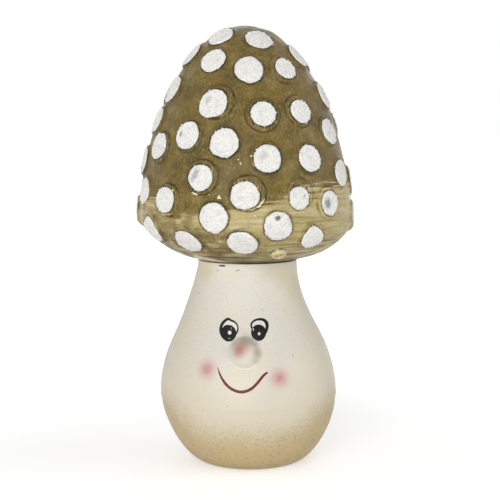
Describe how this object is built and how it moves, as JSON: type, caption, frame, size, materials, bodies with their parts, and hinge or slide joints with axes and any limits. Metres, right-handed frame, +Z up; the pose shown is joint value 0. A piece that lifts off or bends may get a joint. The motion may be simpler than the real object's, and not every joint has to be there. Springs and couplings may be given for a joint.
{
  "type": "ceramic mushroom ornament",
  "caption": "Hollow ceramic mushroom ornament with a painted smiling face, a ball nose, and a bell-shaped cap with raised white spots that lifts off and turns on the stem.",
  "frame": {"origin": "middle of the foot, on the surface the ornament stands on", "axes": "+Z up through the crown of the cap, the face looks along -Y, +X is to the viewer's right"},
  "size_m": [0.1102, 0.1094, 0.22],
  "materials": {
    "stem_glaze": "matte cream with a tan foot and a painted face",
    "cap_glaze": "satin olive brown, wiped back to gold at the rim",
    "white_glitter": "coarse white glitter grains",
    "seat_felt": "thin dark felt"
  },
  "bodies": {
    "stem": {"stem_body": "stem_glaze", "nose": "stem_glaze"},
    "seat_ring": {"seat_ring": "seat_felt"},
    "cap": {"cap_shell": "cap_glaze", "bare_button": "cap_glaze", "spot_buttons_row_1": "cap_glaze", "spot_buttons_row_2": "cap_glaze", "spot_buttons_row_3": "cap_glaze", "spot_buttons_row_4": "cap_glaze", "spot_buttons_row_5": "cap_glaze", "spot_buttons_row_6": "cap_glaze", "spot_buttons_row_7": "cap_glaze", "spot_glitter_row_1": "white_glitter", "spot_glitter_row_2": "white_glitter", "spot_glitter_row_3": "white_glitter", "spot_glitter_row_4": "white_glitter", "spot_glitter_row_5": "white_glitter", "spot_glitter_row_6": "white_glitter", "spot_glitter_row_7": "white_glitter"}
  },
  "joints": [
    {"name": "cap_turn", "type": "hinge", "parent": "stem", "child": "seat_ring", "pos_m": [0, 0, 0.103], "axis": [0, 0, 1], "continuous": true},
    {"name": "cap_lift", "type": "slide", "parent": "seat_ring", "child": "cap", "axis": [0, 0, 1], "range_m": [0, 0.08]}
  ]
}
